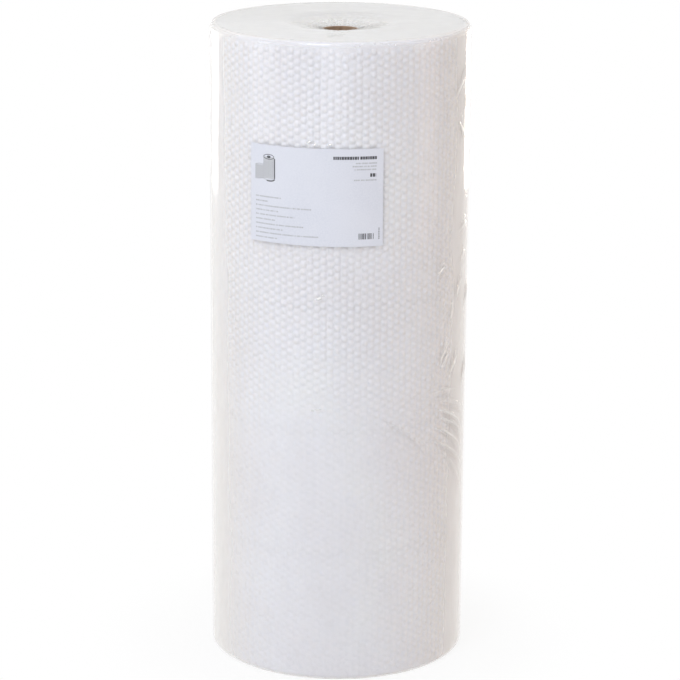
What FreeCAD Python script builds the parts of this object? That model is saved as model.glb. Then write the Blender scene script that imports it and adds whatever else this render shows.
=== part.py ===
"""A roll of bubble film, packed for sale and standing on its end.

A sheet of bubble film 1 m wide is wound on a cardboard core that ends a little inside the roll.
A clear sleeve wraps the roll, turns in over both ends and is gathered in pleats at the core's mouth.
A paper label is stuck on the sleeve.
The frame's origin is the middle of the base, +Z runs up the roll's axis and -Y is the front.
"""
import FreeCAD, Part
import os
import Sketcher

# Driving sizes in millimetres, degrees and counts: name, value and meaning.
SIZES = (
    ("film_width", 1000, "width of the wound sheet"),
    ("roll_diameter", 402, "diameter of the wound sheet, over its bubbles"),
    ("turn_count", 4, "whole turns that show on the ends"),
    ("turn_gap", 0.6, "air between one turn and the next"),
    ("loose_end_turn", 130, "where the sheet's loose end lies, anticlockwise from +X"),
    ("bubble_pitch", 10.5, "distance from one column of bubbles to the next"),
    ("bubble_width", 9, "width of a column of bubbles at its foot"),
    ("bubble_height", 3, "height of the bubbles on the outer turn"),
    ("plain_margin", 9, "width of the strip without bubbles along each edge"),
    ("shoulder_round", 8, "radius of the roll's outer edges"),
    ("core_bore", 50.8, "inner diameter of the core"),
    ("core_wall", 4, "wall of the core"),
    ("core_recess", 12, "how far each end of the core lies inside the roll"),
    ("dish_diameter", 180, "diameter of the hollow that leads down to the core's end"),
    ("sleeve_wall", 0.4, "wall of the clear sleeve"),
    ("mouth_step", 0.8, "how far the sleeve's mouth stays back from the core's bore"),
    ("pleat_count", 6, "pleats of the gathered sleeve at each end"),
    ("pleat_height", 3, "height of a pleat at the core's mouth"),
    ("pleat_width", 1.2, "thickness of a pleat"),
    ("label_length", 210, "length of the label round the roll"),
    ("label_height", 148, "height of the label"),
    ("label_thickness", 0.3, "thickness of the label"),
    ("label_centre", 768, "height of the label's middle above the base"),
    ("label_turn", 10.9, "how far the label's middle lies to the left of the front"),
    ("slack", 0.25, "clearance between pieces that touch lightly"),
    ("glue", 0.35, "glue and air between the label and the sleeve"),
)

# Sizes that follow from the driving ones, as formulas of the sheet.
# Heights are above or below the roll's middle, and the label's are from its own middle.
DERIVED = (
    ("film_half", "film_width / 2", "height of the wound sheet's edge"),
    ("film_radius", "roll_diameter / 2", "radius of the wound sheet over its bubbles"),
    ("block_radius", "film_radius - bubble_height", "radius of the wound sheet under the bubbles"),
    ("side_top", "film_half - shoulder_round", "where the sleeve's side meets its shoulder"),
    ("block_side_top", "side_top + bubble_height", "where the outer turn's edge bends in"),
    ("film_bore", "core_bore / 2 + core_wall + slack", "inner radius of the wound sheet"),
    ("film_flat", "film_radius - shoulder_round", "where the edge's round meets the end"),
    ("film_inner_top", "film_half - core_recess", "height of the innermost turn's edge"),
    ("dish_radius", "dish_diameter / 2", "where the hollow begins on the end"),
    ("turn_pitch", "(film_flat - film_bore) / (turn_count + 1)", "distance from turn to turn"),
    ("first_turn", "film_bore + turn_pitch / 2", "radius at which the gap between turns starts"),
    ("last_turn", "film_flat - turn_pitch / 2", "radius at which the gap between turns ends"),
    ("column_count", "round(2 * pi * film_radius / bubble_pitch)", "columns of bubbles round the roll"),
    ("column_back", "block_radius - bubble_height / 8", "flat back of a column, sunk in the turn"),
    ("column_length", "film_width - 2 * plain_margin", "length of a column of bubbles"),
    ("core_length", "film_width - 2 * core_recess", "length of the core"),
    ("sleeve_bore", "film_radius + slack", "inner radius of the sleeve's side"),
    ("sleeve_radius", "sleeve_bore + sleeve_wall", "outer radius of the sleeve's side"),
    ("sleeve_under", "film_half + slack", "height of the sleeve's end, inside"),
    ("sleeve_top", "sleeve_under + sleeve_wall", "height of the sleeve's end, outside"),
    ("bend", "shoulder_round * cos(45 deg)", "how far the middle of a shoulder reaches past its start"),
    ("bend_radius", "film_flat + bend + slack + sleeve_wall", "middle of the shoulder, outside"),
    ("bend_top", "side_top + bend + slack + sleeve_wall", "height of the shoulder's middle, outside"),
    ("bend_bore", "film_flat + bend + slack", "middle of the shoulder, inside"),
    ("bend_under", "side_top + bend + slack", "height of the shoulder's middle, inside"),
    ("mouth_radius", "core_bore / 2 + mouth_step", "radius of the sleeve's mouth"),
    ("rim_top", "sleeve_top - core_recess", "height of the sleeve over the core, outside"),
    ("rim_under", "sleeve_under - core_recess", "height of the sleeve over the core, inside"),
    ("pleat_foot", "(rim_top + rim_under) / 2", "foot of a pleat by the core, in the sleeve's wall"),
    ("pleat_end", "(sleeve_top + sleeve_under) / 2", "foot of a pleat at the edge of the hollow"),
    ("crest_radius", "film_bore + pleat_height", "radius at which a pleat is highest"),
    ("crest_top", "rim_top + pleat_height", "height of a pleat's crest"),
    ("label_back", "sleeve_radius + glue", "radius of the label's back"),
    ("label_face", "label_back + label_thickness", "radius of the label's face"),
    ("label_half", "label_height / 2", "half of the label's height"),
)

SHEET_NAME = "sizes"
ALIASES = {alias for alias, _, _ in SIZES + DERIVED}

doc = FreeCAD.newDocument("bubble_wrap_roll")


def make_sheet():
    """The spreadsheet, with meanings in column A and values or formulas in column B."""
    made = doc.addObject("Spreadsheet::Sheet", SHEET_NAME)
    rows = [(alias, str(value), meaning) for alias, value, meaning in SIZES]
    rows += [(alias, "=" + formula, meaning) for alias, formula, meaning in DERIVED]
    for row, (alias, content, meaning) in enumerate(rows, start=1):
        made.set(f"A{row}", meaning)
        made.set(f"B{row}", content)
        made.setAlias(f"B{row}", alias)
    doc.recompute()
    return made


sheet = make_sheet()


def size(alias):
    """The sheet's value of one size."""
    return float(sheet.get(alias))


def bind(thing, path, formula):
    """Ties one property of an object to a formula written with the sheet's aliases."""
    words = [f"{SHEET_NAME}.{word}" if word in ALIASES else word for word in formula.split()]
    thing.setExpression(path, " ".join(words))


def new_body(label):
    """An empty body with the label that names its file."""
    body = doc.addObject("PartDesign::Body", label + "_body")
    body.Label = label
    return body


def origin_part(body, role):
    """The plane or axis of the body's own origin that has that role."""
    return next(part for part in body.Origin.OriginFeatures if part.Role == role)


def new_sketch(body, name, role):
    """An empty sketch on the body's own origin plane of that role."""
    sketch = body.newObject("Sketcher::SketchObject", name)
    sketch.AttachmentSupport = [(origin_part(body, role), "")]
    sketch.MapMode = "FlatFace"
    return sketch


def hold(sketch, alias, kind, *elements):
    """Adds one dimension to a sketch and ties its value to the sheet."""
    constraint = Sketcher.Constraint(kind, *elements, size(alias))
    number = sketch.addConstraint(constraint)
    bind(sketch, f"Constraints[{number}]", alias)


def profile_sketch(body, name, corners):
    """A closed section in the XZ plane, drawn with straight sides through corners in order.

    A corner is a pair of aliases, for its radius and its height, and None is zero.
    """
    sketch = new_sketch(body, name, "XZ_Plane")
    places = [FreeCAD.Vector(size(radius), size(height) if height else 0, 0) for radius, height in corners]
    for number, start in enumerate(places):
        end = places[(number + 1) % len(places)]
        sketch.addGeometry(Part.LineSegment(start, end), False)
    for number, (radius_alias, height_alias) in enumerate(corners):
        following = (number + 1) % len(corners)
        sketch.addConstraint(Sketcher.Constraint("Coincident", number, 2, following, 1))
        hold(sketch, radius_alias, "DistanceX", -1, 1, number, 1)
        if height_alias:
            hold(sketch, height_alias, "DistanceY", -1, 1, number, 1)
        else:
            sketch.addConstraint(Sketcher.Constraint("PointOnObject", number, 1, -1))
    return sketch


def turned(body, name, sketch):
    """The sketch turned all the way round the roll's axis."""
    solid = body.newObject("PartDesign::Revolution", name)
    solid.Profile = sketch
    solid.ReferenceAxis = (sketch, ["V_Axis"])
    solid.Angle = 360
    body.Tip = solid
    return solid


def ring_of(body, name, feature, count):
    """Repeats a feature of the body evenly round the roll's axis."""
    ring = body.newObject("PartDesign::PolarPattern", name)
    ring.Originals = [feature]
    ring.Axis = (origin_part(body, "Z_Axis"), [""])
    ring.Angle = 360
    bind(ring, "Occurrences", count)
    body.Tip = ring


def mirror_down(body, name):
    """The whole body so far, mirrored to the lower half of the roll."""
    doc.recompute()
    mirror = body.newObject("PartDesign::Mirrored", name)
    mirror.TransformMode = "Whole shape"
    mirror.MirrorPlane = (origin_part(body, "XY_Plane"), [""])
    body.Tip = mirror


def lift_to_middle(thing):
    """Puts a piece that is drawn about the roll's middle at its height above the base."""
    bind(thing, "Placement.Base.z", "sleeve_top")


# Core tube: cardboard, open at both ends.

def make_core():
    """A plain tube padded both ways from the roll's middle."""
    body = new_body("core_tube")
    sketch = new_sketch(body, "core_section", "XY_Plane")
    bore = size("core_bore") / 2
    for number, radius in enumerate((bore, bore + size("core_wall"))):
        sketch.addGeometry(Part.Circle(FreeCAD.Vector(), FreeCAD.Vector(0, 0, 1), radius), False)
        sketch.addConstraint(Sketcher.Constraint("Coincident", number, 3, -1, 1))
        sketch.addConstraint(Sketcher.Constraint("Radius", number, radius))
    bind(sketch, "Constraints[1]", "core_bore / 2")
    bind(sketch, "Constraints[3]", "core_bore / 2 + core_wall")
    tube = body.newObject("PartDesign::Pad", "core_pad")
    tube.Profile = sketch
    tube.Midplane = True
    bind(tube, "Length", "core_length")
    lift_to_middle(body)
    return body


# Bubble film: one sheet wound on the core, solid but for the thin gap between its turns.

def make_gap():
    """The air between the turns, as a tool that runs past both ends of the roll.

    Half circles about two centres in turn, each wider than the last, make the spiral. A slot at
    either end of it opens it to the core and to the outside, where the sheet's ends are.
    """
    pitch = size("turn_pitch")
    half_gap = size("turn_gap") / 2
    first = size("first_turn")
    last = size("last_turn")
    half_turns = 2 * int(round(size("turn_count")))
    overrun = pitch
    height = size("film_width") + 2 * overrun

    def half_circle(number, offset):
        side = 1 if number % 2 == 0 else -1
        centre = -side * pitch / 4
        radius = first + number * pitch / 2 + pitch / 4 + offset
        points = (centre + side * radius, 0), (centre, side * radius), (centre - side * radius, 0)
        return Part.Arc(*(FreeCAD.Vector(x, y, 0) for x, y in points)).toShape()

    def across(radius):
        return Part.LineSegment(FreeCAD.Vector(radius - half_gap, 0, 0),
                                FreeCAD.Vector(radius + half_gap, 0, 0)).toShape()

    def slot(inner, outer):
        corner = FreeCAD.Vector(inner, -half_gap, 0)
        return Part.makeBox(outer - inner, 2 * half_gap, height, corner)

    edges = [half_circle(number, offset) for offset in (half_gap, -half_gap) for number in range(half_turns)]
    outline = Part.Wire(Part.__sortEdges__(edges + [across(first), across(last)]))
    spiral = Part.Face(outline).extrude(FreeCAD.Vector(0, 0, height))
    inner_slot = slot(size("film_bore") - overrun, first + half_gap)
    outer_slot = slot(last - half_gap, size("film_radius") + overrun)
    gap = doc.addObject("Part::Feature", "turn_gap_tool")
    gap.Shape = spiral.multiFuse([inner_slot, outer_slot])
    gap.Placement = FreeCAD.Placement(FreeCAD.Vector(0, 0, -height / 2), FreeCAD.Rotation())
    return gap


def add_bubbles(block):
    """The outer turn's bubbles, which stand close together in columns, as ridges along the roll."""
    sketch = new_sketch(block, "column_section", "XY_Plane")
    back, crest, half_width = size("column_back"), size("film_radius"), size("bubble_width") / 2
    corners = [FreeCAD.Vector(x, y, 0) for x, y in ((back, -half_width), (crest, 0), (back, half_width))]
    for number, corner in enumerate(corners):
        sketch.addGeometry(Part.LineSegment(corner, corners[(number + 1) % 3]), False)
    for number in range(3):
        sketch.addConstraint(Sketcher.Constraint("Coincident", number, 2, (number + 1) % 3, 1))
    sketch.addConstraint(Sketcher.Constraint("Symmetric", 0, 1, 2, 1, -1))
    sketch.addConstraint(Sketcher.Constraint("PointOnObject", 1, 1, -1))
    hold(sketch, "column_back", "DistanceX", -1, 1, 0, 1)
    hold(sketch, "film_radius", "DistanceX", -1, 1, 1, 1)
    hold(sketch, "bubble_width", "DistanceY", 0, 1, 2, 1)
    column = block.newObject("PartDesign::Pad", "bubble_column")
    column.Profile = sketch
    column.Midplane = True
    bind(column, "Length", "column_length")
    ring_of(block, "bubble_columns", column, "column_count")


def make_film():
    """The wound sheet: a turned block with a hollow at the core, ridged by bubbles, less the gap."""
    block = new_body("wound_block")
    corners = (
        ("film_bore", None),
        ("block_radius", None),
        ("block_radius", "block_side_top"),
        ("film_flat", "film_half"),
        ("dish_radius", "film_half"),
        ("film_bore", "film_inner_top"),
    )
    turned(block, "upper_block", profile_sketch(block, "block_section", corners))
    mirror_down(block, "lower_block")
    add_bubbles(block)
    film = doc.addObject("Part::Cut", "bubble_film_cut")
    film.Label = "bubble_film"
    film.Base = block
    film.Tool = make_gap()
    film.Placement = FreeCAD.Placement(FreeCAD.Vector(), FreeCAD.Rotation(FreeCAD.Vector(0, 0, 1), 1))
    bind(film, "Placement.Rotation.Angle", "loose_end_turn")
    lift_to_middle(film)
    return film


# Clear sleeve: thin film over the side and both ends, gathered round the core's mouth.

def make_sleeve():
    """The turned wall of the upper half with its ring of pleats, mirrored to the lower half.

    It is drawn tight over the roll's edge, so its shoulder is two flat bands rather than a round.
    """
    body = new_body("film_sleeve")
    wall = (
        ("sleeve_bore", None),
        ("sleeve_radius", None),
        ("sleeve_radius", "side_top"),
        ("bend_radius", "bend_top"),
        ("film_flat", "sleeve_top"),
        ("dish_radius", "sleeve_top"),
        ("film_bore", "rim_top"),
        ("mouth_radius", "rim_top"),
        ("mouth_radius", "rim_under"),
        ("film_bore", "rim_under"),
        ("dish_radius", "sleeve_under"),
        ("film_flat", "sleeve_under"),
        ("bend_bore", "bend_under"),
        ("sleeve_bore", "side_top"),
    )
    turned(body, "upper_wall", profile_sketch(body, "sleeve_section", wall))
    pleat = (("film_bore", "pleat_foot"), ("dish_radius", "pleat_end"), ("crest_radius", "crest_top"))
    fold = body.newObject("PartDesign::Pad", "pleat")
    fold.Profile = profile_sketch(body, "pleat_section", pleat)
    fold.Midplane = True
    bind(fold, "Length", "pleat_width")
    ring_of(body, "pleat_ring", fold, "pleat_count")
    mirror_down(body, "lower_sleeve")
    lift_to_middle(body)
    return body


# Label: a sheet of paper bent to the roll.

def make_label():
    """A thin rectangle turned part of the way round the axis, evenly to both sides of its middle."""
    body = new_body("label")
    corners = (
        ("label_back", None),
        ("label_face", None),
        ("label_face", "label_half"),
        ("label_back", "label_half"),
    )
    bend = turned(body, "label_bend", profile_sketch(body, "label_section", corners))
    bend.Midplane = True
    bind(bend, "Angle", "label_length / label_back * 180 / pi")
    mirror_down(body, "lower_label")
    body.Placement = FreeCAD.Placement(FreeCAD.Vector(), FreeCAD.Rotation(FreeCAD.Vector(0, 0, 1), 1))
    bind(body, "Placement.Rotation.Angle", "-90 - label_turn")
    bind(body, "Placement.Base.z", "label_centre")
    return body


def check(pieces):
    """Stops if any object failed, or if a piece isn't one sound solid."""
    for thing in doc.Objects:
        if {"Invalid", "Error"} & set(thing.State):
            raise RuntimeError(f"{thing.Name} failed: {thing.getStatusString()}")
    for piece in pieces:
        shape = piece.Shape
        if shape.isNull() or not shape.isValid() or len(shape.Solids) != 1:
            raise RuntimeError(f"{piece.Label} isn't one sound solid")
        box = shape.BoundBox
        print(f"{piece.Label}: {shape.Volume / 1e3:.1f} cm3, z {box.ZMin:.2f} to {box.ZMax:.2f}, "
              f"x {box.XMin:.2f} to {box.XMax:.2f}")


pieces = [make_core(), make_film(), make_sleeve(), make_label()]
doc.recompute()
check(pieces)
os.makedirs("parts", exist_ok=True)
for piece in pieces:
    piece.Shape.exportStep(os.path.join("parts", piece.Label + ".step"))
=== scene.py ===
"""The looks of the bubble wrap roll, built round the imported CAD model.

Lengths are in metres. Angles run anticlockwise from +X seen from above, and -Y is the front.
"""
import math
import random

import bpy
import numpy as np
from mathutils import Matrix, Vector


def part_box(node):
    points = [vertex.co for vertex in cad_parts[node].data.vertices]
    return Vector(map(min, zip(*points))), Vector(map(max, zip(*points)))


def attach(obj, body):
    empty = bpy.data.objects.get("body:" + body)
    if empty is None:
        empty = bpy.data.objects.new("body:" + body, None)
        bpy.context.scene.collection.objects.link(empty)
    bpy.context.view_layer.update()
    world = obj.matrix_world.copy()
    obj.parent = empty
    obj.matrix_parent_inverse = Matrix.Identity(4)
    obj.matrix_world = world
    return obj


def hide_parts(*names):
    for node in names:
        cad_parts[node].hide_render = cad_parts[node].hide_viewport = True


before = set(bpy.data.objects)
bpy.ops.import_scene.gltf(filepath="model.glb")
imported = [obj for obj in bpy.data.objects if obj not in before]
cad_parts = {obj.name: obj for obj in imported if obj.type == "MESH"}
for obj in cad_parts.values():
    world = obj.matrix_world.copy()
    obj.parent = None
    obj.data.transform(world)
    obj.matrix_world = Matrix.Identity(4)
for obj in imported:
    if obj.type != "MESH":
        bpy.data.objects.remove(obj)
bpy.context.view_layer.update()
rng = np.random.default_rng(20)
random.seed(20)

# Sizes of the roll.
MIDDLE = (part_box("film_sleeve")[0].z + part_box("film_sleeve")[1].z) / 2
FILM_HALF = 0.5
BLOCK_RADIUS = 0.1979
SHOULDER = 0.008
FILM_BORE = 0.02965
DISH_RADIUS = 0.090
RECESS = 0.012
LOOSE_END = math.radians(130)
SHEET_STEP = 0.0019
CORE_BORE = 0.0254
CORE_WALL = 0.004
CORE_HALF = 0.488

# Bubbles.
COLUMNS = 120
ROWS = 85
MARGIN = 0.009
HALF_STEP = (2 * FILM_HALF - 2 * MARGIN) / (2 * ROWS + 1)
COLUMN_WIDTH = 2 * math.pi * (BLOCK_RADIUS + 0.0015) / COLUMNS
ROWS_PER_PIECE = 17

# Wound ends.
TURNS = 61
STEPS_PER_TURN = 120

# Sleeve.
SLEEVE_RADIUS = 0.2008
LABEL_MIDDLE = math.radians(-100.9)
LABEL_HEIGHT = 0.768
LABEL_RADIUS = 0.2023
LABEL_WIDE = 0.210
LABEL_HIGH = 0.148

# Camera, fitted to the photograph's frame.
PICTURE_WIDTH = 680
FOCAL_PIXELS = 2837.8
SENSOR_WIDTH = 36
CAMERA_PLACE = (0.0026, -4.3147, 1.6785)
CAMERA_PITCH = math.radians(90 - 15.341)
CAMERA_ROLL = 0.0066


def new_mesh(name, points, faces, fade=None):
    """A smooth mesh from an array of points and arrays of faces, one array for each corner count.

    Fade is one value for each point, for a material that thins out.
    """
    mesh = bpy.data.meshes.new(name)
    corners = np.concatenate([group.ravel() for group in faces]).astype(np.int32)
    counts = np.concatenate([np.full(len(group), group.shape[1]) for group in faces])
    starts = np.concatenate([[0], np.cumsum(counts)[:-1]]).astype(np.int32)
    used, corners = np.unique(corners, return_inverse=True)
    points = np.asarray(points)[used]
    mesh.vertices.add(len(points))
    mesh.vertices.foreach_set("co", points.astype(np.float32).ravel())
    mesh.loops.add(len(corners))
    mesh.loops.foreach_set("vertex_index", corners.astype(np.int32).ravel())
    mesh.polygons.add(len(counts))
    mesh.polygons.foreach_set("loop_start", starts)
    mesh.polygons.foreach_set("use_smooth", np.ones(len(counts), bool))
    mesh.update(calc_edges=True)
    if fade is not None:
        values = np.asarray(fade)[used].astype(np.float32)
        mesh.attributes.new("fade", "FLOAT", "POINT").data.foreach_set("value", values)
    return mesh


def add_piece(name, mesh, material, replaces=None):
    """Shows a mesh as a piece of the roll."""
    mesh.materials.append(material)
    piece = bpy.data.objects.new(name, mesh)
    bpy.context.scene.collection.objects.link(piece)
    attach(piece, "root")
    if replaces:
        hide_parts(replaces)
    return piece


def grid_faces(rows, columns, closed=False):
    """Quads of a grid of rows by columns points. Closed joins the last column to the first."""
    row = np.arange(rows - 1)[:, None]
    column = np.arange(columns if closed else columns - 1)[None, :]
    following = (column + 1) % columns
    quads = np.stack([row * columns + column, row * columns + following,
                      (row + 1) * columns + following, (row + 1) * columns + column], axis=-1)
    return quads.reshape(-1, 4)


def smooth_step(low, high, value):
    part = np.clip((value - low) / (high - low), 0, 1)
    return part * part * (3 - 2 * part)


# Materials.

class Nodes:
    """A small helper that adds nodes to a new material and wires them."""

    def __init__(self, name):
        self.material = bpy.data.materials.new(name)
        self.material.use_nodes = True
        self.tree = self.material.node_tree
        self.shader = self.tree.nodes["Principled BSDF"]
        self.place = self.add("ShaderNodeTexCoord").outputs["Object"]

    def add(self, kind, **settings):
        node = self.tree.nodes.new(kind)
        for key, value in settings.items():
            if key in node.inputs:
                node.inputs[key].default_value = value
            else:
                setattr(node, key, value)
        return node

    def link(self, source, target):
        self.tree.links.new(source, target)

    def set(self, **values):
        for key, value in values.items():
            self.shader.inputs[key.replace("_", " ")].default_value = value

    def stretched(self, scale):
        mapping = self.add("ShaderNodeMapping")
        mapping.inputs["Scale"].default_value = scale
        self.link(self.place, mapping.inputs["Vector"])
        return mapping.outputs["Vector"]

    def noise(self, scale, detail=3.0, stretch=None, roughness=0.5):
        node = self.add("ShaderNodeTexNoise", Scale=scale, Detail=detail, Roughness=roughness)
        self.link(self.stretched(stretch) if stretch else self.place, node.inputs["Vector"])
        return node.outputs["Fac"]

    def ramp(self, factor, *stops):
        node = self.add("ShaderNodeValToRGB")
        ramp = node.color_ramp
        while len(ramp.elements) < len(stops):
            ramp.elements.new(0.5)
        for element, (position, colour) in zip(ramp.elements, stops):
            element.position = position
            element.color = (*colour, 1) if len(colour) == 3 else colour
        self.link(factor, node.inputs["Fac"])
        return node.outputs["Color"]

    def range(self, factor, low, high, new_low, new_high):
        node = self.add("ShaderNodeMapRange")
        for key, value in zip(("From Min", "From Max", "To Min", "To Max"), (low, high, new_low, new_high)):
            node.inputs[key].default_value = value
        self.link(factor, node.inputs["Value"])
        return node.outputs["Result"]

    def math(self, operation, first, second):
        node = self.add("ShaderNodeMath", operation=operation)
        for socket, value in zip(node.inputs, (first, second)):
            if isinstance(value, (int, float)):
                socket.default_value = value
            else:
                self.link(value, socket)
        return node.outputs[0]

    def mix(self, factor, first, second, blend="MIX"):
        node = self.add("ShaderNodeMix", data_type="RGBA", blend_type=blend)
        for socket, value in ((node.inputs["Factor"], factor), (node.inputs[6], first), (node.inputs[7], second)):
            if isinstance(value, (int, float)):
                socket.default_value = value
            elif isinstance(value, tuple):
                socket.default_value = (*value, 1)
            else:
                self.link(value, socket)
        return node.outputs[2]

    def bump(self, height, strength, distance):
        node = self.add("ShaderNodeBump", Strength=strength, Distance=distance)
        self.link(height, node.inputs["Height"])
        self.link(node.outputs["Normal"], self.shader.inputs["Normal"])


def bubble_film_material():
    nodes = Nodes("bubble_film_clear")
    nodes.set(IOR=1.45, Subsurface_Weight=0.85, Subsurface_Scale=0.0022, Coat_Weight=0.2, Coat_Roughness=0.14)
    nodes.shader.inputs["Subsurface Radius"].default_value = (1.0, 0.95, 0.9)
    cloud = nodes.noise(7.0, 4.0, (1, 1, 0.6))
    colour = nodes.ramp(cloud, (0.30, (0.83, 0.82, 0.85)), (0.55, (0.87, 0.87, 0.91)), (0.75, (0.90, 0.91, 0.95)))
    # The base colour turns warm where the surface turns away from view: a painted warm rim light from the backdrop.
    facing = nodes.add("ShaderNodeLayerWeight", Blend=0.5).outputs["Facing"]
    nodes.link(nodes.mix(nodes.range(facing, 0.22, 0.60, 0.0, 1.0), colour, (0.90, 0.865, 0.845)),
               nodes.shader.inputs["Base Color"])
    nodes.link(nodes.range(nodes.noise(90.0, 2.0), 0.3, 0.7, 0.22, 0.42), nodes.shader.inputs["Roughness"])
    nodes.bump(nodes.noise(260.0, 2.0), 0.15, 0.0005)
    return nodes.material


def edge_film_material():
    nodes = Nodes("bubble_film_edges")
    nodes.set(IOR=1.5, Subsurface_Weight=0.5, Subsurface_Scale=0.008)
    nodes.shader.inputs["Subsurface Radius"].default_value = (1.0, 0.95, 0.85)
    cloud = nodes.noise(40.0, 4.0)
    colour = nodes.ramp(cloud, (0.30, (0.89, 0.88, 0.86)), (0.70, (0.95, 0.94, 0.92)))
    nodes.link(colour, nodes.shader.inputs["Base Color"])
    nodes.link(nodes.range(nodes.noise(150.0, 2.0), 0.3, 0.7, 0.35, 0.55), nodes.shader.inputs["Roughness"])
    nodes.bump(nodes.noise(400.0, 2.0), 0.3, 0.0006)
    return nodes.material


def sleeve_material():
    nodes = Nodes("sleeve_film_clear")
    nodes.set(IOR=1.5, Coat_Weight=1.0, Coat_Roughness=0.04)
    streak = nodes.noise(24.0, 4.0, (1, 1, 0.35))
    colour = nodes.ramp(streak, (0.35, (0.92, 0.915, 0.935)), (0.65, (0.94, 0.94, 0.965)))
    # The base colour turns warm where the sleeve turns away from view: a painted warm reflection of the backdrop along
    # the rim.
    facing = nodes.add("ShaderNodeLayerWeight", Blend=0.5).outputs["Facing"]
    nodes.link(nodes.mix(nodes.range(facing, 0.30, 0.60, 0.0, 1.0), colour, (0.95, 0.925, 0.89)),
               nodes.shader.inputs["Base Color"])
    nodes.link(nodes.range(streak, 0.35, 0.65, 0.05, 0.11), nodes.shader.inputs["Roughness"])
    levels = ((0.0, 0.17), (0.42, 0.19), (0.62, 0.42), (0.85, 0.80))
    haze = nodes.ramp(facing, *((place, (level,) * 3) for place, level in levels))
    haze = nodes.math("ADD", haze, nodes.range(streak, 0.4, 0.7, -0.02, 0.02))
    radius = nodes.add("ShaderNodeVectorMath", operation="LENGTH")
    nodes.link(nodes.stretched((1, 1, 0)), radius.inputs[0])
    flat = nodes.range(radius.outputs["Value"], 0.1990, 0.1935, 0.0, -0.50)
    height = nodes.add("ShaderNodeSeparateXYZ")
    nodes.link(nodes.place, height.inputs[0])
    # The band round the top edge and the spot at the front left of the shoulder thicken the haze so the gloss shows
    # stronger there: a painted highlight.
    shoulder = nodes.range(height.outputs["Z"], 0.9915, 0.9935, 0.0, 0.12)
    near = nodes.add("ShaderNodeVectorMath", operation="DISTANCE")
    near.inputs[1].default_value = (-0.046, -0.197, 0.991)
    nodes.link(nodes.place, near.inputs[0])
    painted_glare = nodes.range(near.outputs["Value"], 0.0, 0.07, 0.05, 0.0)
    mouth = nodes.range(radius.outputs["Value"], 0.045, 0.085, 0.32, 0.0)
    extra = nodes.math("ADD", nodes.math("ADD", flat, mouth), nodes.math("ADD", shoulder, painted_glare))
    corner = nodes.add("ShaderNodeVectorMath", operation="DOT_PRODUCT")
    corner.inputs[1].default_value = (1.2, 0, 1)
    nodes.link(nodes.place, corner.inputs[0])
    tight = nodes.range(corner.outputs["Value"], 0.15, 0.80, 0.04, 0.0)
    nodes.link(nodes.math("ADD", haze, nodes.math("ADD", extra, tight)), nodes.shader.inputs["Alpha"])
    nodes.bump(nodes.noise(60.0, 3.0, (1, 1, 0.4)), 0.22, 0.002)
    return nodes.material


def fold_material(name, ior, dark, light):
    nodes = Nodes(name)
    nodes.set(IOR=ior, Coat_Weight=1.0, Coat_Roughness=0.05)
    patch = nodes.noise(160.0, 2.0)
    nodes.link(nodes.ramp(patch, (0.3, dark), (0.7, light)), nodes.shader.inputs["Base Color"])
    nodes.link(nodes.range(patch, 0.3, 0.7, 0.08, 0.25), nodes.shader.inputs["Roughness"])
    fade = nodes.add("ShaderNodeAttribute", attribute_name="fade").outputs["Fac"]
    nodes.link(nodes.math("MULTIPLY", fade, nodes.range(patch, 0.3, 0.7, 0.75, 1.0)), nodes.shader.inputs["Alpha"])
    nodes.bump(nodes.noise(300.0, 2.0), 0.2, 0.0005)
    return nodes.material


def core_material():
    nodes = Nodes("core_board")
    nodes.set(IOR=1.45, Sheen_Weight=0.1)
    fibre = nodes.noise(220.0, 5.0, (1, 1, 0.25), 0.65)
    blotch = nodes.noise(25.0, 3.0)
    kraft = nodes.ramp(fibre, (0.3, (0.30, 0.19, 0.12)), (0.7, (0.48, 0.33, 0.22)))
    nodes.link(nodes.mix(nodes.range(blotch, 0.35, 0.65, 0.0, 0.35), kraft, (0.56, 0.42, 0.30)),
               nodes.shader.inputs["Base Color"])
    nodes.link(nodes.range(fibre, 0.3, 0.7, 0.8, 0.95), nodes.shader.inputs["Roughness"])
    nodes.bump(fibre, 0.5, 0.0006)
    return nodes.material


def paper_material():
    nodes = Nodes("label_paper")
    nodes.set(IOR=1.48)
    fibre = nodes.noise(500.0, 4.0)
    cloud = nodes.noise(14.0, 3.0)
    sheet = nodes.ramp(fibre, (0.35, (0.69, 0.71, 0.785)), (0.65, (0.74, 0.755, 0.825)))
    nodes.link(nodes.mix(nodes.range(cloud, 0.35, 0.65, 0.0, 0.5), sheet, (0.76, 0.775, 0.84)),
               nodes.shader.inputs["Base Color"])
    nodes.link(nodes.range(cloud, 0.3, 0.7, 0.35, 0.5), nodes.shader.inputs["Roughness"])
    nodes.bump(fibre, 0.2, 0.0003)
    return nodes.material


def ink_material(name, dark, light):
    nodes = Nodes(name)
    nodes.set(IOR=1.45)
    speck = nodes.noise(900.0, 2.0)
    nodes.link(nodes.ramp(speck, (0.35, dark), (0.7, light)), nodes.shader.inputs["Base Color"])
    nodes.link(nodes.range(speck, 0.3, 0.7, 0.45, 0.6), nodes.shader.inputs["Roughness"])
    nodes.bump(speck, 0.1, 0.0002)
    return nodes.material


FILM = bubble_film_material()
EDGES = edge_film_material()
SLEEVE = sleeve_material()
FOLDS = fold_material("sleeve_film_folds", 2.2, (0.95, 0.93, 0.90), (0.99, 0.98, 0.96))
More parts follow.
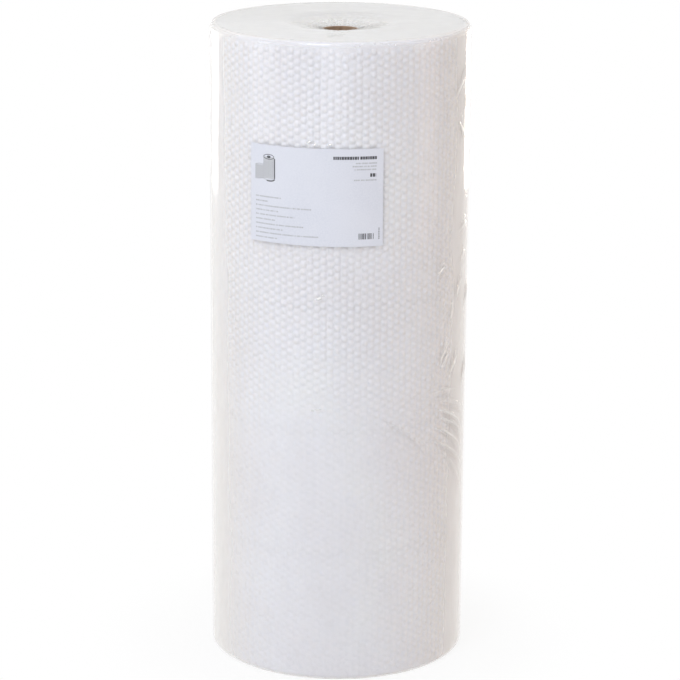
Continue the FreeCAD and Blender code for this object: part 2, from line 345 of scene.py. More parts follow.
# A darker copy of the fold material for strips beside the folds: painted shade in their valleys.
FOLD_SHADE = fold_material("sleeve_film_painted_shade", 1.45, (0.66, 0.63, 0.62), (0.74, 0.71, 0.70))
BOARD = core_material()
PAPER = paper_material()
DARK_INK = ink_material("label_ink_dark", (0.04, 0.04, 0.05), (0.10, 0.10, 0.11))
GREY_INK = ink_material("label_ink_grey", (0.38, 0.39, 0.42), (0.50, 0.51, 0.54))
FILL_INK = ink_material("label_ink_fill", (0.52, 0.53, 0.56), (0.60, 0.61, 0.64))
PALE_INK = ink_material("label_ink_pale", (0.46, 0.47, 0.50), (0.58, 0.59, 0.62))


# Wound bubble film: the outer turn with its bubbles, in five bands, and the turns' edges at both ends.

def block_radius(column, height):
    """Radius of the sheet under the bubbles. It steps down past the loose end and waves a little."""
    angle = column * 2 * math.pi / COLUMNS
    step = SHEET_STEP * (1 - smooth_step(0.0, 1.3, angle)) * (angle < math.tau - 1e-6)
    wave = 0.5 + 0.25 * np.sin(3 * angle + 9 * height) + 0.25 * np.sin(7 * angle - 21 * height + 1.0)
    return BLOCK_RADIUS - step - 0.0006 * wave


def wrapped(column, half_step, rise):
    """A place on the roll's side from its column, its height in half steps and its rise off the sheet."""
    height = -FILM_HALF + MARGIN + half_step * HALF_STEP
    radius = block_radius(column, height) + rise
    angle = LOOSE_END + column * 2 * math.pi / COLUMNS
    return np.stack([radius * np.cos(angle), radius * np.sin(angle), MIDDLE + height], axis=-1)


def merged(places, faces):
    """Joins points that have the same place, and renumbers the faces."""
    _, first, number = np.unique(np.round(places, 6), axis=0, return_index=True, return_inverse=True)
    number = number.ravel()
    return places[first], [number[group] for group in faces]


def bubble_band(first_row, last_row):
    """Cells of the outer turn, each with one bubble: a ring of 8 places on its border, then its dome."""
    column, row = (side.ravel() for side in np.meshgrid(np.arange(COLUMNS), np.arange(first_row, last_row)))
    count = len(column)
    middle_u = column + 0.5
    middle_v = 2.0 * row + column % 2 + 1
    border = np.array([(0, -1), (0.5, -1), (0.5, 0), (0.5, 1), (0, 1), (-0.5, 1), (-0.5, 0), (-0.5, -1)])
    places = [np.stack([middle_u + du, middle_v + dv, np.zeros(count)], -1) for du, dv in border]
    width = rng.uniform(0.97, 1.02, count)
    rise = rng.uniform(0.80, 1.0, count) * np.where(rng.random(count) < 0.03, 0.45, 1.0)
    shift_u = rng.normal(0, 0.008, count)
    shift_v = rng.normal(0, 0.025, count)
    lean = rng.normal(0, 0.035, count)
    angle = LOOSE_END + middle_u * 2 * math.pi / COLUMNS
    height = -FILM_HALF + MARGIN + middle_v * HALF_STEP
    rise *= 0.80 * (1 - 0.75 * smooth_step(0.10, -0.12, height) * np.clip(1.2 * np.cos(angle + 2.1), 0, 1))
    rings = ((12, 0.0049, 0.0), (12, 0.0041, 0.0014), (6, 0.0023, 0.0024), (1, 0.0, 0.00275))
    for number, radius, height in rings:
        for step in range(number):
            turn = math.radians(-90 + 360 * step / number)
            du = (radius * width * math.cos(turn)) / COLUMN_WIDTH + shift_u
            dv = (radius * width * math.sin(turn)) / HALF_STEP + shift_v
            tilt = 1 + lean * math.cos(turn) * (number == 6)
            places.append(np.stack([middle_u + du, middle_v + dv, height * rise * tilt], -1))
    places = np.stack(places, axis=1)
    size = places.shape[1]
    base = np.arange(count)[:, None] * size
    foot, shoulder, crown, top = 8, 20, 32, 38
    quads, triangles = [], []
    for quarter in range(4):
        b = [(2 * quarter + k) % 8 for k in range(3)]
        a = [foot + (3 * quarter + k) % 12 for k in range(4)]
        quads += [(b[0], b[1], a[1], a[0]), (b[1], b[2], a[3], a[2])]
        triangles.append((b[1], a[2], a[1]))
    for k in range(12):
        after = (k + 1) % 12
        quads.append((foot + k, foot + after, shoulder + after, shoulder + k))
    for k in range(6):
        after = (k + 1) % 6
        odd, even = shoulder + 2 * k + 1, shoulder + (2 * k + 2) % 12
        triangles += [(shoulder + 2 * k, odd, crown + k), (crown + k, crown + after, top)]
        quads.append((odd, even, crown + after, crown + k))
    faces = [(base[:, :, None] + np.array(kind)[None]).reshape(-1, len(kind[0])) for kind in (quads, triangles)]
    return places.reshape(-1, 3), faces


def blank_half_cells(parity, half_step):
    """The half cells without a bubble that every other column has at its end."""
    columns = np.arange(parity, COLUMNS, 2)
    offsets = ((0, 0), (0.5, 0), (1, 0), (1, 1), (0.5, 1), (0, 1))
    places = np.stack([np.stack([columns + du, np.full(len(columns), half_step + dv), 0.0 * columns], -1)
                       for du, dv in offsets], axis=1)
    return places.reshape(-1, 3), [np.arange(len(columns) * 6).reshape(-1, 6)]


def side_edge(upper):
    """The strip without bubbles and the rounded edge, from the last bubbles to the flat end."""
    columns = np.arange(2 * COLUMNS + 1) / 2
    zone_end = FILM_HALF - MARGIN
    arc = [(SHOULDER * (1 - math.cos(turn)), FILM_HALF - SHOULDER + SHOULDER * math.sin(turn))
           for turn in np.linspace(0, math.pi / 2, 9)]
    profile = [(0.0, zone_end)] + arc + [(SHOULDER + 0.0004, FILM_HALF - 0.003)]
    rows = []
    for inward, height in profile:
        signed = height if upper else -height
        crimp = 0.0003 * np.sin(columns * 2.9 + 3) * (height > zone_end + 0.001)
        radius = block_radius(columns, signed if inward == 0 else math.copysign(zone_end, signed)) - inward + crimp
        angle = LOOSE_END + columns * 2 * math.pi / COLUMNS
        rows.append(np.stack([radius * np.cos(angle), radius * np.sin(angle),
                              np.full(len(columns), MIDDLE + signed)], -1))
    if not upper:
        rows.reverse()
    return np.concatenate(rows), [grid_faces(len(rows), len(columns))]


def loose_end():
    """The face of the sheet's cut end, where the outer turn stops."""
    half_steps = np.arange(2 * ROWS + 2)
    outer = wrapped(np.full(len(half_steps), float(COLUMNS)), half_steps, 0.0)
    inner = wrapped(np.zeros(len(half_steps)), half_steps, -0.0002)
    return np.concatenate([outer, inner]), [grid_faces(2, len(half_steps))]


def combine(parts):
    """Joins lists of points and faces into one list of points and one of faces for each corner count."""
    points, groups, start = [], {}, 0
    for part_points, part_faces in parts:
        points.append(part_points)
        for group in part_faces:
            groups.setdefault(group.shape[1], []).append(group + start)
        start += len(part_points)
    return np.concatenate(points), [np.concatenate(group) for group in groups.values()]


def make_side():
    for number in range(ROWS // ROWS_PER_PIECE):
        first = number * ROWS_PER_PIECE
        last = first + ROWS_PER_PIECE
        parts = [bubble_band(first, last)]
        if first == 0:
            parts.append(blank_half_cells(1, 0))
        if last == ROWS:
            parts.append(blank_half_cells(0, 2 * ROWS))
        places, faces = merged(*combine(parts))
        places = wrapped(places[:, 0], places[:, 1], places[:, 2])
        extra = [(places, faces)]
        if first == 0:
            extra += [side_edge(False), loose_end()]
        if last == ROWS:
            extra.append(side_edge(True))
        places, faces = merged(*combine(extra))
        add_piece(f"film_bubbles_{number + 1}", new_mesh(f"film_bubbles_{number + 1}", places, faces), FILM,
                  "bubble_film")


def end_height(radius):
    """Height of the turns' edges above the roll's middle: flat, with a hollow round the core."""
    return FILM_HALF - RECESS * np.clip((DISH_RADIUS - radius) / (DISH_RADIUS - FILM_BORE), 0, 1)


def wound_end(upper):
    """Edges of all the turns at one end: a spiral ridge with a groove between one turn and the next."""
    total = (TURNS + 1) * STEPS_PER_TURN + 1
    step = np.arange(total)
    outer_limit = BLOCK_RADIUS - SHOULDER - 0.0004
    pitch = (outer_limit - FILM_BORE) / TURNS
    turn_number = step / STEPS_PER_TURN
    angle = LOOSE_END + turn_number * math.tau
    wander = 0.00035 * np.sin(turn_number * 9.7) + 0.0003 * np.sin(turn_number * 23.1 + 2)
    ruffle = 0.00025 * np.sin(turn_number * math.tau * 31 + 5 * np.sin(turn_number))
    sections = ((0.0, -0.0013), (0.35, 0.0), (0.75, -0.0001))
    rows = []
    for part, rise in sections:
        radius = np.minimum(FILM_BORE + (turn_number + part - 1) * pitch + pitch, outer_limit)
        radius = np.maximum(radius, FILM_BORE)
        height = end_height(radius) + rise + (wander + ruffle if rise > -0.001 else 0.0) - 0.0003
        height = np.minimum(height, FILM_HALF)
        rows.append(np.stack([radius * np.cos(angle), radius * np.sin(angle),
                              MIDDLE + (height if upper else -height)], -1))
    points = np.stack(rows, axis=1).reshape(-1, 3)
    first = np.arange(TURNS * STEPS_PER_TURN)
    quads = []
    for section in range(3):
        near = first * 3 + section
        if section < 2:
            far = near + 1
        else:
            far = (first + STEPS_PER_TURN) * 3
        quads.append(np.stack([near, far, far + 3, near + 3], -1))
    quads = np.concatenate(quads)
    return points, [quads if upper else quads[:, ::-1]]


def wound_end_rims(upper):
    """The short walls that close a wound end: down the bore and down inside the rounded edge."""
    angle = np.arange(STEPS_PER_TURN) * math.tau / STEPS_PER_TURN + LOOSE_END
    outer_limit = BLOCK_RADIUS - SHOULDER - 0.0004
    parts = []
    for radius, depth, outward in ((outer_limit, 0.004, True), (FILM_BORE, 0.03, False)):
        top = end_height(radius) - 0.0016
        rows = []
        for height in (top, top - depth):
            rows.append(np.stack([radius * np.cos(angle), radius * np.sin(angle),
                                  np.full(len(angle), MIDDLE + (height if upper else -height))], -1))
        quads = grid_faces(2, len(angle), closed=True)
        parts.append((np.concatenate(rows), [quads[:, ::-1] if outward == upper else quads]))
    return combine(parts)


def make_ends():
    for upper in (True, False):
        name = "film_turns_top" if upper else "film_turns_bottom"
        points, faces = combine([wound_end(upper), wound_end_rims(upper)])
        add_piece(name, new_mesh(name, points, faces), EDGES, "bubble_film")


# Core tube: plies show at its rim and a spiral joint runs down its bore.

def make_core():
    around = 96
    plies = 6
    profile = []
    for k in range(plies + 1):
        radius = CORE_BORE + CORE_WALL * k / plies
        dip = 0.0003 if k not in (0, plies) else 0.0005
        if k:
            profile.append((radius - 0.0002, CORE_HALF))
        profile.append((radius, CORE_HALF - dip))
        if k < plies:
            profile.append((radius + 0.0002, CORE_HALF))
    heights = np.linspace(CORE_HALF - 0.002, -CORE_HALF + 0.002, 60)
    outline = [(CORE_BORE, height) for height in heights[::-1]]
    outline += profile
    outline += [(CORE_BORE + CORE_WALL, height) for height in heights[::6]]
    outline += [(radius, -height) for radius, height in reversed(profile)]
    angle = np.arange(around) * math.tau / around
    rows = []
    for radius, height in outline:
        joint = (height / 0.085 + angle / math.tau) % 1.0
        groove = 0.0004 * np.exp(-((joint - 0.5) / 0.012) ** 2) * (radius < CORE_BORE + 1e-6) * (abs(height) < 0.49)
        rough = 0.00008 * np.sin(angle * 23 + height * 900)
        near = radius + groove + rough * (abs(height) < CORE_HALF - 0.001)
        rows.append(np.stack([near * np.cos(angle), near * np.sin(angle),
                              np.full(around, MIDDLE + height)], -1))
    rows.append(rows[0])
    points, faces = merged(np.concatenate(rows), [grid_faces(len(rows), around, closed=True)])
    add_piece("core_tube_board", new_mesh("core_tube_board", points, faces), BOARD, "core_tube")


# Clear sleeve: the wall, and the folds that stand on it.

def sleeve_radius(angle, height):
    """Radius of the sleeve's side. It is looser in the upper part and lifts a little under the label."""
    loose = smooth_step(-0.02, 0.03, height + 0.012 * np.sin(2 * angle + 1))
    wave = np.sin(5 * angle + 14 * height) + np.sin(11 * angle - 23 * height + 2) + np.sin(3 * angle + 37 * height)
    radius = SLEEVE_RADIUS - 0.0001 + 0.00035 * loose + 0.00012 * wave * (0.4 + 0.6 * loose)
    along = (np.mod(angle - LABEL_MIDDLE + math.pi, math.tau) - math.pi) * LABEL_RADIUS
    above = height + MIDDLE - LABEL_HEIGHT
    beside = np.maximum(np.abs(along) - LABEL_WIDE / 2, np.abs(above) - LABEL_HIGH / 2)
    near_label = smooth_step(0.014, 0.0, beside)
    return radius + (0.2019 - radius) * near_label


def make_sleeve():
    around = 400
    angle = np.arange(around) * math.tau / around
    side = np.linspace(-(FILM_HALF - SHOULDER), FILM_HALF - SHOULDER, 105)
    upper = []
    for turn in np.linspace(0, math.pi / 2, 7)[1:]:
        upper.append(("shoulder", turn))
    for radius in np.linspace(0.1905, DISH_RADIUS, 7):
        upper.append(("flat", radius))
    for radius in np.linspace(DISH_RADIUS, 0.031, 22)[1:]:
        upper.append(("dish", radius))
    upper += [("dish", 0.0290), ("mouth", 0.0270), ("mouth", 0.0250), ("mouth", 0.0238)]
    phase = 2.6 * np.sin(angle * 2 + 0.6) + 1.7 * np.sin(angle * 3 + 2.0) + 0.8 * np.sin(angle * 7)
    fold_shape = np.abs(np.sin(angle * 17 + phase)) ** 0.7

    def ring(kind, value, sign):
        if kind == "shoulder":
            start = sleeve_radius(angle, sign * (FILM_HALF - SHOULDER))
            radius = start - (SHOULDER + 0.0004) * (1 - math.cos(value))
            height = FILM_HALF - SHOULDER + (SHOULDER + 0.0004) * math.sin(value)
            height = np.full(around, height)
        elif kind == "mouth":
            drop = (0.0290 - value) / 0.0052
            radius = value + 0.0016 * drop * (np.sin(5 * angle + 1) * 0.6 + np.sin(11 * angle) * 0.4)
            height = end_height(FILM_BORE) + 0.0012 * fold_shape * (1 - drop) - 0.0035 * drop ** 2
        else:
            reach = np.clip((0.15 - value) / (0.15 - 0.0272), 0, 1)
            inner = np.clip((0.075 - value) / (0.075 - FILM_BORE), 0, 1)
            radius = np.full(around, value)
            lift = 0.0025 * reach ** 2 * fold_shape
            sag = 0.0006 * np.sin(angle * 9 + value * 150) * reach * (1 - reach)
            height = end_height(value) + 0.0003 + lift * (0.35 + 0.65 * inner) + sag
            height = np.minimum(height, FILM_HALF + 0.0006)
        return np.stack([radius * np.cos(angle), radius * np.sin(angle), MIDDLE + sign * height], -1)

    rows = [ring(kind, value, -1) for kind, value in reversed(upper)]
    for height in side:
        radius = sleeve_radius(angle, height)
        rows.append(np.stack([radius * np.cos(angle), radius * np.sin(angle), np.full(around, MIDDLE + height)], -1))
    rows += [ring(kind, value, 1) for kind, value in upper]
    points = np.concatenate(rows)
    add_piece("sleeve_wall", new_mesh("sleeve_wall", points, [grid_faces(len(rows), around, closed=True)]), SLEEVE,
              "film_sleeve")


def on_side(flat, lift):
    """A place on the sleeve's side from its run round the roll and its height, and its lift."""
    angle = flat[:, 0] / SLEEVE_RADIUS
    radius = sleeve_radius(angle, flat[:, 1]) + lift
    return np.stack([radius * np.cos(angle), radius * np.sin(angle), MIDDLE + flat[:, 1]], -1)


def on_top(flat, lift):
    """A place on the sleeve's upper end from its x and y, and its lift."""
    height = end_height(np.hypot(flat[:, 0], flat[:, 1])) + 0.0006 + lift
    return np.stack([flat[:, 0], flat[:, 1], MIDDLE + height], -1)


def ridge(path, width, rise, strength=0.6, place=on_side):
    """A fold of the sleeve along a flat path: an arched strip that thins out at its sides and ends."""
    count = len(path)
    along = np.linspace(0, 1, count)
    taper = np.sin(np.pi * np.clip(along, 0.001, 0.999)) ** 0.6
    direction = np.gradient(path, axis=0)
    direction /= np.linalg.norm(direction, axis=1)[:, None]
    across = np.stack([-direction[:, 1], direction[:, 0]], -1)
    rows, fades = [], []
    for offset, lift, solid in ((-1, -0.1, 0), (-0.55, 0.55, 0.55), (0, 1, 1), (0.55, 0.55, 0.55), (1, -0.1, 0)):
        rows.append(place(path + across * (offset * width / 2 * taper)[:, None], lift * rise * taper))
        fades.append(strength * solid * taper)
    return np.concatenate(rows), [grid_faces(5, count)[:, ::-1]], np.concatenate(fades)


def curve(start, end, bend=0.0, count=16):
    """A flat path between two places that bows sideways by a part of its length."""
    along = np.linspace(0, 1, count)[:, None]
    start, end = np.array(start), np.array(end)
    side = np.array([-(end - start)[1], (end - start)[0]])
    return start + (end - start) * along + side * bend * np.sin(np.pi * along)


def side_fold(turn_a, height_a, turn_b, height_b, width, rise, strength, bend=0.0):
    """A fold on the sleeve's side between two places, given in degrees round the roll and metres up."""
    start = (math.radians(turn_a) * SLEEVE_RADIUS, height_a)
    end = (math.radians(turn_b) * SLEEVE_RADIUS, height_b)
    return ridge(curve(start, end, bend), width, rise, strength)


def top_fold(turn, near, far, width, rise, strength, sweep=0.0):
    """A pleat on the upper end that runs out from the mouth."""
    angle = math.radians(turn)
    start = (near * math.cos(angle), near * math.sin(angle))
    end = (far * math.cos(angle + sweep), far * math.sin(angle + sweep))
    return ridge(curve(start, end, 0.3 * sweep), width, rise, strength, on_top)


def blister(turn, height, wide, high, lean):
    """A small swelling of the sleeve, as an oval dome that leans by some degrees."""
    rings, around = (0.0, 0.35, 0.7, 1.0), 16
    angle = np.arange(around) * math.tau / around
    lean = math.radians(lean)
    rows, fades = [], []
    for ring in rings:
        x, y = ring * wide / 2 * np.cos(angle), ring * high / 2 * np.sin(angle)
        flat = np.stack([math.radians(turn) * SLEEVE_RADIUS + x * math.cos(lean) - y * math.sin(lean),
                         height + x * math.sin(lean) + y * math.cos(lean)], -1)
        rows.append(on_side(flat, np.full(around, 0.0018 * (1 - ring ** 2) - 0.0001)))
        fades.append(np.full(around, min(1.0, 1.3 * (1 - ring))))
    return np.concatenate(rows), [grid_faces(len(rings), around, closed=True)], np.concatenate(fades)


def show_folds(name, parts, material=FOLDS):
    points, faces = combine([part[:2] for part in parts])
    add_piece(name, new_mesh(name, points, faces, np.concatenate([part[2] for part in parts])), material,
              "film_sleeve")


def make_folds():
    strands = ((-30, 0.397, -14, 0.443), (-22, 0.375, -10, 0.398), (-24, 0.190, -14, 0.201),
               (-26.4, 0.084, -19.5, 0.123), (-22.5, 0.141, -17, 0.159), (-40, -0.012, -31.6, 0.027),
               (-37, -0.016, -31.4, 0.008), (-29.2, -0.029, -23, 0.001), (-31.8, 0.053, -29.3, 0.077),
               (-31.9, -0.033, -27.4, -0.011), (-27, 0.365, -17, 0.328), (-42.3, 0.132, -35, 0.144),
               (-20, 0.30, -9, 0.335), (-18, 0.24, -8, 0.275), (-16, 0.06, -7, 0.10), (-19, -0.06, -9, -0.02))
    # Each strand and fan fold gets a dark strip just below it: painted shade in the fold's valley.
    parts, fold_shades, blisters = [], [], []
    for turn_a, height_a, turn_b, height_b in strands:
        bend = random.uniform(-0.08, 0.08)
        wide = 0.011 if turn_b > -26 else 0.007
        parts.append(side_fold(turn_a, height_a, turn_b, height_b, wide, 0.24 * wide, 1.0, bend))
        parts.append(side_fold(turn_a + 2, height_a + 0.013, turn_b - 1, height_b + 0.009,
                               0.7 * wide, 0.2 * wide, 0.7, bend))
        fold_shades.append(side_fold(turn_a + 0.5, height_a - 0.010, turn_b, height_b - 0.009, wide, 0.0004, 0.22, bend))
    fan = ((-43, -0.064, -12, -0.104, 0.35), (-41.5, -0.078, -16, -0.128, 0.6), (-40, -0.092, -13, -0.150, 0.6),
           (-42.7, -0.106, -15, -0.170, 0.6), (-44.5, -0.126, -14, -0.195, 0.5), (-71.4, -0.079, -45, -0.141, 0.25),
           (-46, -0.05, -24, -0.06, 0.35), (-38, -0.15, -16, -0.225, 0.35))
    for turn_a, height_a, turn_b, height_b, strength in fan:
        parts.append(side_fold(turn_a, height_a, turn_b, height_b, 0.0085, 0.0015, 1.3 * strength, 0.05))
        fold_shades.append(side_fold(turn_a + 3, height_a - 0.009, turn_b - 2, height_b - 0.011, 0.009, 0.0005,
                                 0.8 * strength, 0.05))
    for turn, height, wide, high, lean in ((-103, 0.351, 0.010, 0.004, 30), (-100.5, 0.347, 0.006, 0.005, 100),
                                           (-94, 0.348, 0.008, 0.004, 10), (-98.4, 0.113, 0.013, 0.007, 25),
                                           (-96.8, 0.118, 0.008, 0.004, -30), (-98.6, -0.061, 0.012, 0.003, 5),
                                           (-101, -0.063, 0.006, 0.003, -20)):
        blisters.append(blister(turn, height, wide, high, lean))
    for _ in range(48):
        turn = random.uniform(2, 178)
        height = random.uniform(-0.45, 0.42)
        lean = math.radians(random.choice((55, 65, 75, -40, -60)) + random.uniform(-10, 10))
        reach = random.uniform(0.03, 0.10)
        turn_b = turn + math.degrees(reach * math.cos(lean) / SLEEVE_RADIUS)
        height_b = min(0.46, max(-0.46, height + reach * math.sin(lean)))
        parts.append(side_fold(turn, height, turn_b, height_b,
                               random.uniform(0.006, 0.012), random.uniform(0.0008, 0.0018), random.uniform(0.3, 0.55),
                               random.uniform(-0.1, 0.1)))
    show_folds("sleeve_folds", parts)
    show_folds("sleeve_folds_painted_shade", fold_shades, FOLD_SHADE)
    show_folds("sleeve_blisters", blisters)
    parts = []
    for turn in np.linspace(0, 360, 15, endpoint=False):
        parts.append(top_fold(turn + random.uniform(-8, 8), 0.026, random.uniform(0.045, 0.080),
                              random.uniform(0.009, 0.014), random.uniform(0.0012, 0.0022), random.uniform(0.3, 0.5),
                              random.uniform(-0.25, 0.25)))
    long_pleats = ((-20, 0.075, 0.1), (-8, 0.080, 0.0), (8, 0.075, -0.1), (-38, 0.070, 0.2), (192, 0.055, 0.1))
    for turn, far, sweep in long_pleats:
        parts.append(top_fold(turn, 0.029, far, 0.010, 0.0032, 0.6, sweep))
    for _ in range(7):
        middle = np.array([random.uniform(-0.016, 0.010), random.uniform(-0.150, -0.100)])
        away = np.array([random.uniform(-0.012, 0.012), random.uniform(-0.010, 0.010)])
        parts.append(ridge(curve(middle - away, middle + away, 0.1, 8), 0.010, 0.0016, 0.5, on_top))
    show_folds("sleeve_pleats", parts)


# Label: plain marks and a drawing of a roll stand in for its print.

def on_label(u, v, rise):
    """A place on the label from its left edge and its top edge, as parts of its width and height."""
    angle = LABEL_MIDDLE + (np.asarray(u) - 0.5) * LABEL_WIDE / 0.2020
    radius = LABEL_RADIUS + rise
    height = LABEL_HEIGHT + (0.5 - np.asarray(v)) * LABEL_HIGH
    return np.stack([radius * np.cos(angle), radius * np.sin(angle), height + 0 * angle], -1)


def mark(left, top, right, bottom, rise=0.00008):
    """A printed bar in millimetres from the label's upper left corner, bent to the label."""
    count = max(2, int((right - left) / 4) + 1)
    across = np.linspace(left, right, count) / 210
    rows = [on_label(across, np.full(count, level / 148), rise) for level in (bottom, top)]
    return np.concatenate(rows), [grid_faces(2, count)]


def blocks(left, right, top, height, widths, gap):
    """A row of small blocks that stands in for a line of print."""
    row, place = [], left
    while place < right - 0.5:
        wide = random.choice(widths)
        row.append(mark(place, top, min(place + wide, right), top + height))
        place += wide + gap + (random.random() < 0.22) * 2 * gap
    return row


def stroke(path, width):
    """A drawn line in millimetres along a path on the label."""
    path = np.array(path, float)
    direction = np.gradient(path, axis=0)
    direction /= np.linalg.norm(direction, axis=1)[:, None]
    across = np.stack([-direction[:, 1], direction[:, 0]], -1) * width / 2
    rows = [on_label(side[:, 0] / 210, side[:, 1] / 148, 0.00008) for side in (path + across, path - across)]
    return np.concatenate(rows), [grid_faces(2, len(path))]


def oval(x, y, wide, high, start=0, end=360):
    turn = np.radians(np.linspace(start, end, 25))
    return np.stack([x + wide * np.cos(turn), y + high * np.sin(turn)], -1)


def spot(x, y, size):
    """A small round dot on the label."""
    turn = np.arange(8) * math.tau / 8
    points = on_label((x + size * np.cos(turn)) / 210, (y - size * np.sin(turn)) / 148, 0.00008)
    return points, [np.arange(8)[None]]


def make_print():
    def show(name, parts, ink):
        points, faces = combine(parts)
        add_piece(name, new_mesh(name, points, faces), ink)

    title = blocks(134.5, 199.5, 11.2, 4.6, (2.2, 2.8, 3.4), 0.7)
    title += blocks(189.5, 198.5, 37.0, 5.2, (3.0, 3.6), 0.9)
    show("print_title", title, DARK_INK)
    lines = [(168, 199.5, 20.5), (163, 199.5, 25.2), (166, 199.5, 30.0), (165, 199, 46.0)]
    lines += [(9.5, 9.5 + reach, 78.0 + 6.9 * k)
              for k, reach in enumerate((44, 22, 92, 41, 66, 34, 80, 47, 103, 38))]
    small = [part for left, right, top in lines for part in blocks(left, right, top, 2.0, (1.4, 2.0, 2.8), 0.6)]
    show("print_lines", small, PALE_INK)
    bars = blocks(172.5, 197.5, 128.0, 9.0, (0.5, 0.9, 1.4), 0.7)
    bars += [mark(203.2, 120 + 2.6 * k, 204.4, 121.8 + 2.6 * k) for k in range(7)]
    show("print_bars", bars, DARK_INK)
    dots = [spot(11.5 + 3.2 * i, 33.5 + 3.4 * j + 0.6 * (i % 2), 0.8) for i in range(4) for j in range(6)]
    dots += [spot(26.5 + 3.2 * i, 26.0 + 3.4 * j + 1.7 * (i % 2), 0.8) for i in range(5) for j in range(7)]
    drawing = [stroke([(24, 18), (24, 34), (24, 50)], 0.8), stroke([(42, 18), (42, 34), (42, 50)], 0.8),
               stroke([(9, 31), (16, 29.5), (24, 30)], 0.8), stroke([(9, 31), (9, 42), (9, 53)], 0.8),
               stroke([(9, 53), (16, 52.5), (24, 50)], 0.8), stroke(oval(33, 50, 9, 3.2, 0, 180), 0.8)]
    show("print_roll", dots + drawing, GREY_INK)
    show("print_roll_fill", [mark(24, 18, 42, 51, 0.00004), mark(9, 31, 24, 52, 0.00004)], FILL_INK)
    heavy = [stroke(oval(33, 18, 9, 3.6), 0.9), stroke(oval(33, 18, 2.4, 1.0), 1.8),
             stroke([(43.2, 20), (43.2, 35), (43.2, 50.5)], 1.6), stroke(oval(34, 51.2, 9.2, 3.4, 0, 120), 1.6)]
    show("print_roll_shade", heavy, DARK_INK)


make_side()
make_ends()
make_core()
make_sleeve()
make_folds()
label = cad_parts["label"]
label.data.materials.clear()
label.data.materials.append(PAPER)
make_print()


# Floor, backdrop, light and camera.

def make_floor():
    size = 30.0
    mesh = bpy.data.meshes.new("floor")
    mesh.from_pydata([(-size, -size, 0), (size, -size, 0), (size, size, 0), (-size, size, 0)], [], [(0, 1, 2, 3)])
    material = bpy.data.materials.new("floor_white")
    material.use_nodes = True
    tree = material.node_tree
    shader = tree.nodes["Principled BSDF"]
    shader.inputs["Base Color"].default_value = (0.92, 0.92, 0.92, 1)
    shader.inputs["Roughness"].default_value = 0.9
    shader.inputs["Specular IOR Level"].default_value = 0.0
    glow = tree.nodes.new("ShaderNodeEmission")
    rays = tree.nodes.new("ShaderNodeLightPath")
    place = tree.nodes.new("ShaderNodeNewGeometry")
    reach = tree.nodes.new("ShaderNodeVectorMath")
    reach.operation = "LENGTH"
    far = tree.nodes.new("ShaderNodeMapRange")
    far.interpolation_type = "SMOOTHSTEP"
    for key, value in (("From Min", 0.20), ("From Max", 0.42), ("To Min", 0.88), ("To Max", 1.0)):
        far.inputs[key].default_value = value
    tree.links.new(place.outputs["Position"], reach.inputs[0])
    tree.links.new(reach.outputs["Value"], far.inputs["Value"])
    share = tree.nodes.new("ShaderNodeMath")
    share.operation = "MULTIPLY"
    tree.links.new(far.outputs["Result"], share.inputs[1])
    mix = tree.nodes.new("ShaderNodeMixShader")
    seen = tree.nodes.new("ShaderNodeMath")
    seen.operation = "MAXIMUM"
    tree.links.new(rays.outputs["Is Camera Ray"], seen.inputs[0])
    tree.links.new(rays.outputs["Is Glossy Ray"], seen.inputs[1])
    tree.links.new(seen.outputs[0], share.inputs[0])
    tree.links.new(share.outputs[0], mix.inputs["Fac"])
    tree.links.new(shader.outputs[0], mix.inputs[1])
    tree.links.new(glow.outputs[0], mix.inputs[2])
    tree.links.new(mix.outputs[0], tree.nodes["Material Output"].inputs["Surface"])
    mesh.materials.append(material)
    floor = bpy.data.objects.new("floor", mesh)
    bpy.context.scene.collection.objects.link(floor)


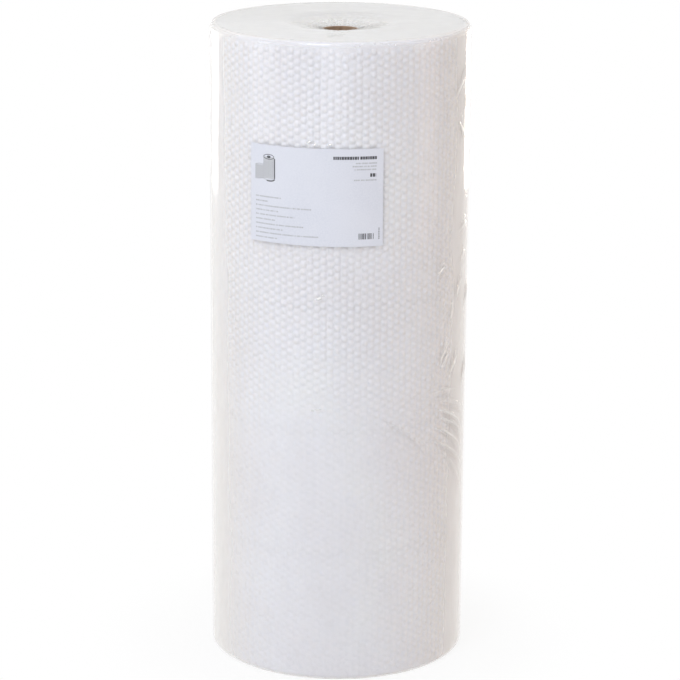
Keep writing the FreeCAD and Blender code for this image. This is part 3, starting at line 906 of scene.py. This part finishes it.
def make_world():
    world = bpy.data.worlds.new("studio")
    bpy.context.scene.world = world
    world.use_nodes = True
    tree = world.node_tree
    background = tree.nodes["Background"]
    background.inputs["Color"].default_value = (1, 1, 1, 1)
    rays = tree.nodes.new("ShaderNodeLightPath")
    seen = tree.nodes.new("ShaderNodeMath")
    seen.operation = "MAXIMUM"
    level = tree.nodes.new("ShaderNodeMapRange")
    level.inputs["To Min"].default_value = 0.585
    level.inputs["To Max"].default_value = 1.0
    tint = tree.nodes.new("ShaderNodeMix")
    tint.data_type = "RGBA"
    tint.inputs[6].default_value = (1.0, 0.98, 0.955, 1)
    tint.inputs[7].default_value = (1, 1, 1, 1)
    also = tree.nodes.new("ShaderNodeMath")
    also.operation = "MAXIMUM"
    tree.links.new(rays.outputs["Is Camera Ray"], seen.inputs[0])
    tree.links.new(rays.outputs["Is Transmission Ray"], seen.inputs[1])
    tree.links.new(seen.outputs[0], also.inputs[0])
    tree.links.new(rays.outputs["Is Glossy Ray"], also.inputs[1])
    tree.links.new(also.outputs[0], level.inputs["Value"])
    tree.links.new(level.outputs["Result"], background.inputs["Strength"])
    tree.links.new(also.outputs[0], tint.inputs["Factor"])
    tree.links.new(tint.outputs[2], background.inputs["Color"])


def make_lamp(name, place, target, size, power, colour):
    data = bpy.data.lights.new(name, "AREA")
    data.shape = "RECTANGLE"
    data.size, data.size_y = size
    data.energy = power
    data.color = colour
    lamp = bpy.data.objects.new(name, data)
    lamp.location = place
    lamp.rotation_euler = (Vector(target) - Vector(place)).to_track_quat("-Z", "Y").to_euler()
    bpy.context.scene.collection.objects.link(lamp)


def make_camera():
    data = bpy.data.cameras.new("camera")
    data.sensor_width = SENSOR_WIDTH
    data.lens = FOCAL_PIXELS / PICTURE_WIDTH * SENSOR_WIDTH
    camera = bpy.data.objects.new("camera", data)
    pitch = Matrix.Rotation(CAMERA_PITCH, 4, "X")
    roll = Matrix.Rotation(CAMERA_ROLL, 4, "Z")
    camera.matrix_world = Matrix.Translation(CAMERA_PLACE) @ pitch @ roll
    bpy.context.scene.collection.objects.link(camera)
    bpy.context.scene.camera = camera


make_floor()
make_world()
make_lamp("key", (-1.15, -2.5, 4.0), (0, 0, 0.6), (1.6, 0.9), 64, (0.86, 0.91, 1.0))
make_lamp("left", (-3.2, -1.2, 1.0), (0, 0, 0.5), (1.6, 1.8), 12, (0.94, 0.97, 1.0))
make_lamp("right", (3.0, -0.5, 0.7), (0, 0, 0.5), (1.2, 1.4), 8, (1.0, 0.68, 0.50))
make_lamp("front", (-0.3, -3.4, 0.5), (0, 0, 0.2), (1.4, 0.7), 7, (0.90, 0.93, 1.0))
make_lamp("back_left", (-2.1, 2.5, 0.5), (0, 0, 0.5), (0.9, 0.9), 15, (1.0, 0.96, 0.91))
make_lamp("back_right", (1.6, 2.9, 0.5), (0, 0, 0.5), (0.9, 0.9), 24, (1.0, 0.90, 0.79))
make_camera()
bpy.context.scene.view_settings.view_transform = "Standard"
